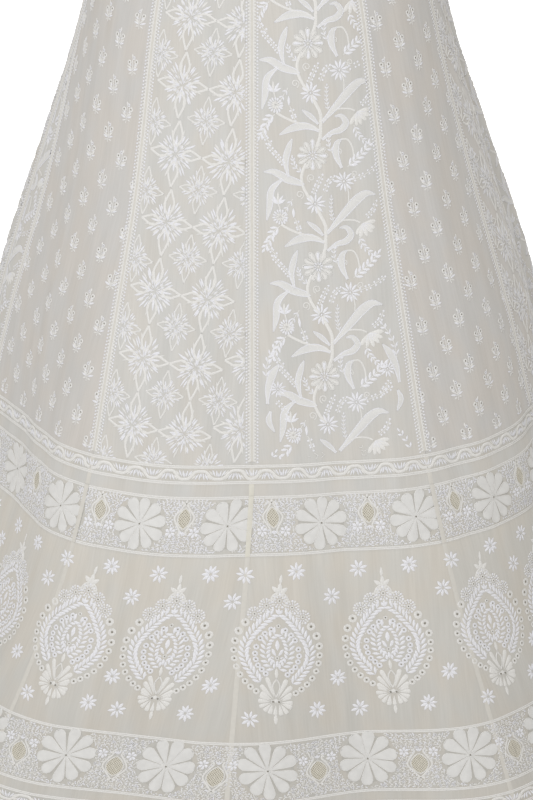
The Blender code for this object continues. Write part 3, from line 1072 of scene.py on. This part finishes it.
def lay_seams(work, stamps):
    """A flat strip over the kali's right seam, and down each side a fine line and a ladder of beads."""
    kali = work.kali
    depths = np.arange(MOTIF_TOP - 4, NARROW_TOP + 4.0, 8.0)
    work.line(kali.width_at(depths) / 2, depths, UPPER_STRIP_WIDTH, STRIP, 0.3, base=0.14)
    for top, bottom, lift, finish in LOWER_STRIP:
        # Only the middle front seam gets the paler strip of painted light; the rest keep the plain strip
        finish = finish if kali.number == CENTRE_SEAM else STRIP
        depths = np.linspace(top, bottom, int((bottom - top) / 8) + 2)
        edge = kali.width_at(depths) / 2
        work.line(edge, depths, LOWER_STRIP_WIDTH, finish, 0.26 + lift, base=0.14 + lift)
    depths = np.arange(MOTIF_TOP - 4, NARROW_TOP - 0.5, 6.0)
    for side in (-1, 1):
        work.line(side * (kali.width_at(depths) / 2 - SEAM_LINE_INSET), depths, 1.6, CREAM, 0.85)
    depths = np.arange(MOTIF_TOP - 2, NARROW_TOP - 2, BEAD_STEP)
    for side in (-1, 1):
        xs = side * (kali.width_at(depths) / 2 - BEAD_INSET)
        work.put(stamps["bead"], [(x, depth, 0, side < 0) for x, depth in zip(xs, depths)])


def border_lines(work, top, bottom, width=1.6, spread=1.7):
    first, last = top + width / 2, bottom - width / 2
    for depth in (first, first + spread, last - spread, last):
        work.level_line(depth, width, 0.75)


# Half the leaves of a bay: how far each stands aside and up, its angle and its length
BAY_LEAVES = ((1.6, 2.4, 14, 8.0), (3.8, 1.8, 36, 8.4), (6.6, 0.4, 57, 7.6))


def lay_narrow_border(work, top, bottom, pitch):
    """A broad serpentine stem with a fan of leaves in each bay, between two pairs of lines."""
    border_lines(work, top, bottom)
    middle = (top + bottom) / 2
    width = work.kali.width_at(middle)
    waves = round(width / pitch)
    wave = width / waves
    share = np.linspace(0, waves, waves * 14 + 1)
    path = np.cos(2 * math.pi * share) - 0.13 * np.cos(6 * math.pi * share)
    sway = np.sin(2.3 * share + work.kali.number)
    xs = -width / 2 + (share + 0.035 * sway) * wave
    work.line(xs, middle + (4.9 + 0.4 * sway) * path, 3.1, CREAM, 1.0)
    leaves = Stamp(work.kali.number)
    spread = wave / 44
    for x, sign, turn in ((wave * 0.5, 1, 180), (0.0, -1, 0)):
        for side in (-1, 1):
            for aside, up, lean, length in BAY_LEAVES:
                angle = turn - sign * side * lean * min(spread, 1.15)
                finish = CREAM if lean > 50 else SATIN
                leaves.leaf(x + side * aside * spread, -sign * up, angle, length, 2.5 * spread, finish)
        leaves.leaf(x, -sign * 2.6, turn, 5.0, 1.6)
    places = [(-width / 2 + i * wave, middle) for i in range(waves)]
    work.put(leaves, places, top=top + 2.0, bottom=bottom - 2.0)


def filler_stamp(width, height, blocked, whites, seed):
    """Close rows of small chevron stitches over a border's ground, left out where blocked says."""
    stamp = Stamp(seed)
    vary = stamp.chance.uniform
    across, down = 2.6, 2.3
    for row in range(int(height / down) + 1):
        for column in range(int(width / across)):
            x = -width / 2 + (column + 0.5 + 0.5 * (row % 2)) * across
            y = -height / 2 + 1.2 + row * down
            kind = stamp.chance.random()
            px, py, turn = x + vary(-0.7, 0.7), y + vary(-0.55, 0.55), vary(-48, 48)
            if blocked(x, y):
                continue
            if kind < 0.10:
                stamp.knot(px, py, 1.05)
            elif kind < 0.23:
                stamp.ring(px, py, 1.35, 0.9, SATIN if row % 2 else CREAM, sides=5)
            else:
                angle = turn + (52 if column % 2 else -52)
                finish = SATIN if kind > whites else CREAM
                stamp.ray(px, py, -1.5, angle, 4.6, 1.6, finish, 0.85, SHORT_STATIONS)
    return stamp


# The two daisy borders, in millimetres: rows under a border's middle, and the reach of a daisy's petals
WIDE = {
    "key": "wide",
    "top": WIDE_TOP, "bottom": WIDE_BOTTOM,
    "daisy_row": -1.0, "diamond_row": -9.0, "flower_drop": 15, "flower_aside": 12.5,
    "frame_turn": 0, "frame_size": (13.0, 20.0),
    "reach": 29.0, "whites": 0.52, "seed": 1,
}
LOWER = {
    "key": "lower",
    "top": LOWER_TOP, "bottom": LOWER_BOTTOM,
    "daisy_row": -3.0, "diamond_row": 3.5, "flower_drop": -14, "flower_aside": 16.0,
    "frame_turn": 180, "frame_size": (15.5, 20.5),
    # The lower border's filler has fewer white stitches than the wide one's, which darkens it as painted
    # shade
    "reach": 33.5, "whites": 0.82, "seed": 0,
}


def lay_wide_border(work, border, daisies, diamonds, stamps):
    """A daisy border: big daisies and net diamonds on a close ground of small stitches."""
    key, top, bottom, aside = (border[part] for part in ("key", "top", "bottom", "flower_aside"))
    border_lines(work, top, bottom)
    middle = (top + bottom) / 2
    slant = SKIRT.slant(middle)
    own = work.kali.width_at(middle) / 2
    daisy_row, diamond_row = middle + border["daisy_row"], middle + border["diamond_row"]
    flower_row = diamond_row + border["flower_drop"] / slant
    wide, tall = border["frame_size"]
    places = [(x, daisy_row, 7 * i, i % 2 > 0) for i, x in enumerate(daisies) if abs(x) < own]
    work.put(stamps[f"{key}_daisy"], places)
    for x in diamonds:
        if abs(x) < own:
            work.put(stamps[f"{key}_diamond"], [(x, diamond_row)])
            work.put(stamps[f"{key}_frame"], [(x, diamond_row, border["frame_turn"])])
            work.put(stamps["tiny_flower"], [(x - aside, flower_row), (x + aside, flower_row, 9)])

    def blocked(x, y):
        depth = middle + y / slant
        drop = (depth - diamond_row) * slant
        for d in daisies:
            if math.hypot(x - d, (depth - daisy_row) * slant) < border["reach"] + 0.4:
                return True
        for d in diamonds:
            away = abs(x - d)
            in_frame = away / wide + abs(drop) / tall < 1.0
            in_flower = math.hypot(away - aside, (depth - flower_row) * slant) < 6.2
            in_spray = key == "wide" and away < 28 and -21.5 < drop < -14.5
            if in_frame or in_flower or in_spray:
                return True
        return abs(x) > own

    seed = work.kali.number * 7 + border["seed"]
    filling = filler_stamp(2 * own, (bottom - top) * slant - 7, blocked, border["whites"], seed)
    work.put(filling, [(0, middle)], top=top + 3.4, bottom=bottom - 3.4)


# Small flowers round a medallion: shares of half the kali and millimetres aside, depth, angle and mirrored
MEDALLION_FLOWERS = (
    (0, -26, 780, 5, False), (0, 29, 778, 20, True),
    (0.5, 2, 808, 0, False), (0.5, 1, 899, 12, True),
    (0, -37, 936, 8, False), (0, 38, 932, 0, True),
)


def lay_medallions(work, stamps):
    width = work.kali.width_at(MEDALLION_DEPTH)
    spots = [-0.338 * width, 0.145 * width]
    work.put(stamps["medallion"], [(spots[0], MEDALLION_DEPTH, 7.5), (spots[1], MEDALLION_DEPTH, -1.2)])
    flowers = []
    for x in spots:
        for share, aside, depth, angle, mirrored in MEDALLION_FLOWERS:
            flowers.append((x + share * width / 2 + aside, depth, angle, mirrored))
    work.put(stamps["small_flower"], flowers)


# Materials

def add_node(tree, kind, inputs, **settings):
    """A node with its settings. Each input, by name or number, gets its value or a link from a socket."""
    node = tree.nodes.new(f"ShaderNode{kind}")
    for key, value in settings.items():
        setattr(node, key, value)
    for key, value in inputs.items():
        if isinstance(value, bpy.types.NodeSocket):
            tree.links.new(value, node.inputs[key])
        else:
            node.inputs[key].default_value = value
    return node


def shader_material(name, colour, roughness, sheen=0.0, sheen_roughness=0.5):
    material = bpy.data.materials.new(name)
    material.use_nodes = True
    tree = material.node_tree
    shader = tree.nodes["Principled BSDF"]
    shader.inputs["Base Color"].default_value = (*colour, 1)
    shader.inputs["Roughness"].default_value = roughness
    shader.inputs["Sheen Weight"].default_value = sheen
    shader.inputs["Sheen Roughness"].default_value = sheen_roughness
    return material, tree, shader


def flat_places(tree):
    return add_node(tree, "UVMap", {}, uv_map="Flat").outputs[0]


def stretched_noise(tree, across, along, detail):
    """Noise over the flat cloth, in cells per metre across and along."""
    mapping = add_node(tree, "Mapping", {"Vector": flat_places(tree), "Scale": (across, along, 1)})
    inputs = {"Vector": mapping.outputs[0], "Scale": 1.0, "Detail": detail}
    return add_node(tree, "TexNoise", inputs, noise_dimensions="2D").outputs[0]


def ramp(tree, source, stops):
    node = tree.nodes.new("ShaderNodeValToRGB")
    while len(node.color_ramp.elements) < len(stops):
        node.color_ramp.elements.new(0.5)
    for element, (place, colour) in zip(node.color_ramp.elements, stops):
        element.position = place
        element.color = (*colour, 1)
    tree.links.new(source, node.inputs[0])
    return node.outputs[0]


def multiplied(tree, first, second):
    inputs = {0: 1.0, 6: first, 7: second}
    return add_node(tree, "Mix", inputs, data_type="RGBA", blend_type="MULTIPLY").outputs[2]


def bump(tree, shader, height, strength, distance):
    node = add_node(tree, "Bump", {"Strength": strength, "Distance": distance, "Height": height})
    tree.links.new(node.outputs[0], shader.inputs["Normal"])


def combined(tree, first, second, share):
    """first + share * second"""
    return add_node(tree, "Math", {0: second, 1: share, 2: first}, operation="MULTIPLY_ADD").outputs[0]


# The georgette's own tones, then what its soft patches and its warm and cool ones multiply them by
STREAKS = ((0.30, (0.462, 0.453, 0.426)), (0.70, (0.488, 0.479, 0.452)))
SOFT = ((0.32, (0.965, 0.962, 0.955)), (0.68, (1.02, 1.02, 1.02)))
CAST = ((0.36, (1.014, 0.998, 0.980)), (0.64, (0.986, 0.999, 1.014)))

# Each border with what multiplies the cloth above it, inside it and below it. The panels' own tone is above
# the first. These are painted shade between the close stitches inside the borders, and painted light under
# the wide border that fades to painted shade towards the hem.
PLAIN, STITCHED_BORDER_SHADE, LOW_SKIRT_SHADE = (1.0, 1.0, 1.0), (0.955, 0.948, 0.927), (0.955, 0.943, 0.92)
MEDALLION_PAINTED_LIGHT, LOWER_BORDER_SHADE = (1.03, 1.015, 0.985), (0.90, 0.893, 0.872)
BORDER_TONES = (
    (NARROW_TOP, NARROW_BOTTOM, None, STITCHED_BORDER_SHADE, PLAIN),
    (WIDE_TOP, WIDE_BOTTOM, PLAIN, STITCHED_BORDER_SHADE, MEDALLION_PAINTED_LIGHT),
    (LOWER_TOP, LOWER_BOTTOM, LOW_SKIRT_SHADE, LOWER_BORDER_SHADE, LOW_SKIRT_SHADE),
    (HEM_TOP, HEM_BOTTOM, LOW_SKIRT_SHADE, LOWER_BORDER_SHADE, LOW_SKIRT_SHADE),
)


def georgette_material(name, upper):
    """Crinkled georgette over its own lining: fine upright streaks, and painted shade and light that change
    with depth.
    """
    material, tree, shader = shader_material(name, (0.50, 0.49, 0.46), 0.82, sheen=0.15)
    fine = stretched_noise(tree, 520, 22, 4)
    broad = stretched_noise(tree, 60, 6, 3)
    colour = ramp(tree, fine, STREAKS)
    colour = multiplied(tree, colour, ramp(tree, broad, SOFT))
    colour = multiplied(tree, colour, ramp(tree, stretched_noise(tree, 26, 15, 2), CAST))
    # The Depth layer holds the depth in metres in both of its places
    place = add_node(tree, "UVMap", {}, uv_map="Depth")
    split = add_node(tree, "SeparateXYZ", {0: place.outputs[0]})
    depth = add_node(tree, "Math", {0: split.outputs[1], 1: SKIRT_LENGTH}, operation="DIVIDE").outputs[0]
    # Painted shade and light by depth, multiplied into the cloth's colour
    stops = [(0.0, upper)]
    for top, bottom, above, inside, below in BORDER_TONES:
        first, last = top / 1000 / SKIRT_LENGTH, bottom / 1000 / SKIRT_LENGTH
        stops += [(first, above or upper), (first + 0.001, inside), (last - 0.001, inside), (last, below)]
    tree.links.new(multiplied(tree, colour, ramp(tree, depth, stops)), shader.inputs["Base Color"])
    crinkle = combined(tree, fine, broad, 1.6)
    crinkle = combined(tree, crinkle, stretched_noise(tree, 2600, 2600, 1), 0.15)
    bump(tree, shader, crinkle, 0.22, 0.0006)
    return material


def toned_material(
    name, dark, light, roughness, sheen, cells, detail=2, ends=(0.3, 0.7), weave=(), relief=()
):
    """Cloth that varies between two tones. Weave is the cells and detail of its bump's own noise, and relief
    the bump's strength and distance."""
    material, tree, shader = shader_material(name, light, roughness, sheen)
    tone = stretched_noise(tree, *cells, detail)
    tree.links.new(ramp(tree, tone, list(zip(ends, (dark, light)))), shader.inputs["Base Color"])
    if relief:
        bump(tree, shader, stretched_noise(tree, *weave) if weave else tone, *relief)
    return material


def strip_material(name, dark, light, roughness=0.8):
    look = {"cells": (160, 160), "ends": (0.32, 0.68), "relief": (0.3, 0.0003)}
    return toned_material(name, dark, light, roughness, 0.1, **look)


def thread_material(name, dark, light, roughness, sheen, pitch):
    """Satin stitch: parallel threads lying across the leaf, with a little colour variation."""
    material, tree, shader = shader_material(name, light, roughness, sheen, sheen_roughness=0.35)
    tone = ramp(tree, stretched_noise(tree, 260, 1500, 2), ((0.30, dark), (0.66, light)))
    tree.links.new(tone, shader.inputs["Base Color"])
    inputs = {"Vector": flat_places(tree), "Scale": 1.0 / pitch / 3.3, "Distortion": 1.2}
    wave = add_node(tree, "TexWave", inputs, bands_direction="Y")
    bump(tree, shader, wave.outputs[1], 0.5, 0.0003)
    return material


def floor_material():
    material, tree, shader = shader_material("studio_floor", (0.93, 0.93, 0.93), 0.9)
    shader.inputs["Emission Color"].default_value = (1, 1, 1, 1)
    shader.inputs["Emission Strength"].default_value = 0.62
    noise = add_node(tree, "TexNoise", {"Scale": 2.0})
    tone = ramp(tree, noise.outputs[0], ((0.3, (0.92, 0.92, 0.92)), (0.7, (0.94, 0.94, 0.94))))
    tree.links.new(tone, shader.inputs["Base Color"])
    return material


# Cloth shells

def cloth_shell(kali, material):
    """One kali's own cloth: a thin closed shell on its solid's form, in place of that solid."""
    own = slice(SIDE_CELLS, SIDE_CELLS + KALI_CELLS + 1)
    grid = kali.middle[:, own].copy()
    for edge, inner in ((0, 1), (-1, -2)):
        step = grid[:, inner] - grid[:, edge]
        grid[:, edge] += step / np.linalg.norm(step, axis=1, keepdims=True) * SEAM_CLEAR / 2
    out = kali.normal[:, own] * CLOTH_THICKNESS / 2
    across = np.linspace(-0.5, 0.5, KALI_CELLS + 1) * kali.width[:, None] + kali.number
    length, depth = (down[:, None] + np.zeros(KALI_CELLS + 1) for down in (SKIRT.lengths, SKIRT.depths))
    layers = {"Flat": np.stack([across, length], axis=-1), "Depth": np.stack([depth, depth], axis=-1)}
    return shell_object(f"cloth_{kali.number:02d}_{kali.design}", grid + out, grid - out, layers, material)


def waistband_piece(material):
    """The waistband: a strip that is a little fuller in its middle, lapped and fastened at the side."""
    outer, inner, flat = [], [], []
    turns = np.linspace(-math.pi, math.pi, RING_SAMPLES + 1)
    for depth in np.linspace(0, WAISTBAND_HEIGHT, BAND_ROWS + 1):
        ring = ring_by_length(depth)
        whole = ring[0][-1] - ring[0][0]
        lengths = (whole + WAISTBAND_LAP) * np.linspace(0, 1, BAND_COLUMNS + 1)
        tuck = (WAISTBAND_THICKNESS + LAP_GAP) * np.clip((lengths - whole) / WAISTBAND_LAP + 1, 0, 1)
        lengths += np.interp(math.radians(CLOSURE_TURN), turns, ring[0])
        px, py = ring_places(ring, lengths)
        step = np.stack([np.gradient(px), np.gradient(py)])
        step /= np.hypot(*step)
        puff = 0.25 + 0.25 * math.sin(math.pi * depth / WAISTBAND_HEIGHT) ** 0.5
        for face, side in ((outer, puff), (inner, -puff)):
            out = WAISTBAND_THICKNESS * side - tuck
            face.append(np.stack([px + step[1] * out, py - step[0] * out, np.full_like(px, -depth)], axis=1))
        flat.append(np.stack([lengths, np.full_like(lengths, depth)], axis=1))
    layers = {"Flat": np.array(flat)}
    return shell_object("waistband_cloth", np.array(outer), np.array(inner), layers, material)


# Scene

def add_camera():
    data = bpy.data.cameras.new("camera")
    data.sensor_fit = "HORIZONTAL"
    data.sensor_width = SENSOR_MM
    data.lens = FOCAL_PIXELS / PHOTO_WIDTH * SENSOR_MM
    data.clip_end = 100
    camera = bpy.data.objects.new("camera", data)
    camera.location = (CAMERA_ASIDE, -CAMERA_DISTANCE, CAMERA_HEIGHT)
    camera.rotation_euler = (math.pi / 2 - CAMERA_PITCH, 0, 0)
    bpy.context.scene.collection.objects.link(camera)
    bpy.context.scene.camera = camera


# Studio: where the lights aim, and the colour and strength of the light from all round
LIT_PLACE = (0, 0, -0.6)
WORLD_COLOUR, WORLD_STRENGTH = (1.012, 0.988, 0.955, 1), 0.79
FLOOR_SIZE = 60


def add_light(name, place, energy, size, colour=(1, 1, 1)):
    """A round area light aimed at the skirt's middle."""
    data = bpy.data.lights.new(name, "AREA")
    data.energy = energy
    data.color = colour
    data.shape = "DISK"
    data.size = size
    light = bpy.data.objects.new(name, data)
    light.location = place
    light.rotation_euler = (Vector(LIT_PLACE) - Vector(place)).to_track_quat("-Z", "Y").to_euler()
    bpy.context.scene.collection.objects.link(light)


def add_studio():
    scene = bpy.context.scene
    world = bpy.data.worlds.new("studio")
    scene.world = world
    world.use_nodes = True
    background = world.node_tree.nodes["Background"]
    background.inputs["Color"].default_value = WORLD_COLOUR
    background.inputs["Strength"].default_value = WORLD_STRENGTH
    scene.view_settings.view_transform = "Standard"
    scene.view_settings.look = "None"
    add_light("key", (-0.9, -3.6, 1.9), 97, 1.3, (0.985, 1.0, 1.05))
    add_light("back", (0.9, 3.6, 1.9), 80, 1.6)
    bpy.ops.mesh.primitive_plane_add(size=FLOOR_SIZE, location=(0, 0, -SKIRT_LENGTH - FLOOR_DROP))
    floor = bpy.context.object
    floor.name = "floor"
    floor.data.materials.append(floor_material())
    floor.visible_diffuse = False
    floor.visible_glossy = False


def all_stamps():
    return {
        "sprig": [sprig_stamp(seed) for seed in range(4)],
        "big_star": [star_stamp(33.5, 27.5, 7, 2.15, seed) for seed in range(5)],
        "small_star": [star_stamp(24.5, 20.0, 6, 1.9, seed) for seed in range(10, 15)],
        "vine": [vine_stamp(seed) for seed in range(3)],
        "vine_side": [vine_side_stamp(seed) for seed in range(2)],
        "bead": bead_stamp(),
        "wide_daisy": [applique_daisy_stamp(WIDE["reach"], 11.8, seed) for seed in range(3)],
        "wide_diamond": net_diamond_stamp(6.9, 12.0, 0),
        "wide_frame": diamond_frame_stamp(6.9, 12.0, 1, sprays=True),
        "lower_daisy": [applique_daisy_stamp(LOWER["reach"], 13.6, seed) for seed in range(20, 23)],
        "lower_diamond": net_diamond_stamp(9.8, 12.4, 2),
        "lower_frame": diamond_frame_stamp(9.8, 12.4, 3),
        "tiny_flower": tiny_flower_stamp(),
        "medallion": [medallion_stamp(seed) for seed in range(3)],
        "small_flower": [small_flower_stamp(seed) for seed in range(4)],
    }


# The kalis whose cloth above the borders is a little darker: painted shade
PAINTED_SHADE_KALIS = (2, 5, 6, 8, 11)
LOWER_DAISIES = 28
LOWER_FIRST = 3.0


def lower_places(kali):
    """Daisies evenly round the hem border, and diamonds midway, as offsets from this kali's middle."""
    depth = (LOWER_TOP + LOWER_BOTTOM) / 2
    rows = SKIRT.depths * 1000
    whole = np.interp(depth, rows, SKIRT.whole) * 1000
    centre = np.interp(depth, rows, (kali.left + kali.right) / 2) * 1000
    pitch = whole / LOWER_DAISIES
    daisies, diamonds = [], []
    for i in range(LOWER_DAISIES):
        for listed, shift in ((daisies, 0), (diamonds, 0.5)):
            x = (LOWER_FIRST + (i + shift) * pitch - centre + whole / 2) % whole - whole / 2
            if abs(x) < kali.width_at(depth) / 2 + 40:
                listed.append(x)
    return daisies, diamonds


def dress(kali, stamps, materials):
    """All the embroidery of one kali, from its panel down to the hem."""
    work = Embroidery(kali)
    {"vine": lay_vine, "sprig": lay_sprigs, "star": lay_stars}[kali.design](work, stamps)
    lay_seams(work, stamps)
    lay_narrow_border(work, NARROW_TOP, NARROW_BOTTOM, 34.0)
    width = kali.width_at((WIDE_TOP + WIDE_BOTTOM) / 2)
    daisies = [share * width for share in (-0.625, -0.125, 0.375)]
    diamonds = [share * width for share in (-0.375, 0.125, 0.625)]
    lay_wide_border(work, WIDE, daisies, diamonds, stamps)
    lay_medallions(work, stamps)
    lay_wide_border(work, LOWER, *lower_places(kali), stamps)
    lay_narrow_border(work, HEM_TOP, HEM_BOTTOM, 41.0)
    work.level_line(SKIRT_LENGTH * 1000 - HEM_LINE_RISE, 1.2, 0.6)
    return work.make(f"embroidery_{kali.number:02d}_{kali.design}", materials)


add_camera()
add_studio()
cloth = georgette_material("ivory_georgette", PLAIN)
# The same georgette with painted shade above the borders
painted_shade_cloth = georgette_material("ivory_georgette_painted_shade", (0.972, 0.960, 0.965))
band_cloth = toned_material("waistband_cloth", (0.63, 0.61, 0.565), (0.69, 0.672, 0.63), 0.8, 0.2, (60, 40),
                            weave=(1400, 1400, 2), relief=(0.4, 0.0004))
threads = [
    thread_material("white_satin_thread", (0.61, 0.612, 0.632), (0.72, 0.722, 0.748), 0.5, 0.15, 0.0007),
    thread_material("cream_thread", (0.585, 0.578, 0.553), (0.66, 0.653, 0.63), 0.62, 0.1, 0.0009),
    strip_material("seam_strip", (0.502, 0.487, 0.447), (0.526, 0.510, 0.468)),
    # Painted shade: the dark seen through holes and through open net
    toned_material("eyelet_hole_shade", (0.17, 0.158, 0.13), (0.25, 0.235, 0.20), 0.9, 0.0, (500, 500),
                   detail=1, ends=(0.35, 0.65)),
    toned_material("golden_net", (0.40, 0.375, 0.30), (0.63, 0.605, 0.53), 0.75, 0.1, (700, 700),
                   ends=(0.35, 0.65), relief=(0.4, 0.0003)),
    toned_material("cream_applique", (0.548, 0.546, 0.530), (0.588, 0.586, 0.570), 0.78, 0.2, (90, 90),
                   weave=(1900, 1900, 1), relief=(0.4, 0.0003)),
    # Painted shade for the ground under and between applique petals
    strip_material("shaded_ground", (0.38, 0.371, 0.34), (0.415, 0.405, 0.375), 0.9),
    # Painted light: the seam strip paler and warmer, for the middle of the front
    strip_material("seam_strip_painted_light", (0.532, 0.517, 0.455), (0.560, 0.545, 0.483)),
]
stamps = all_stamps()
for number in range(1, KALI_COUNT + 1):
    kali = Kali(number)
    shell = cloth_shell(kali, painted_shade_cloth if number in PAINTED_SHADE_KALIS else cloth)
    node = f"kali_{number:02d}_{kali.design}"
    stitches = dress(kali, stamps, threads)
    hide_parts(node)
    for piece in (shell, stitches):
        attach(piece, "root")
band = waistband_piece(band_cloth)
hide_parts("waistband")
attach(band, "root")
band_length = ring_by_length(0.0)[0][-1] * 2 + WAISTBAND_LAP
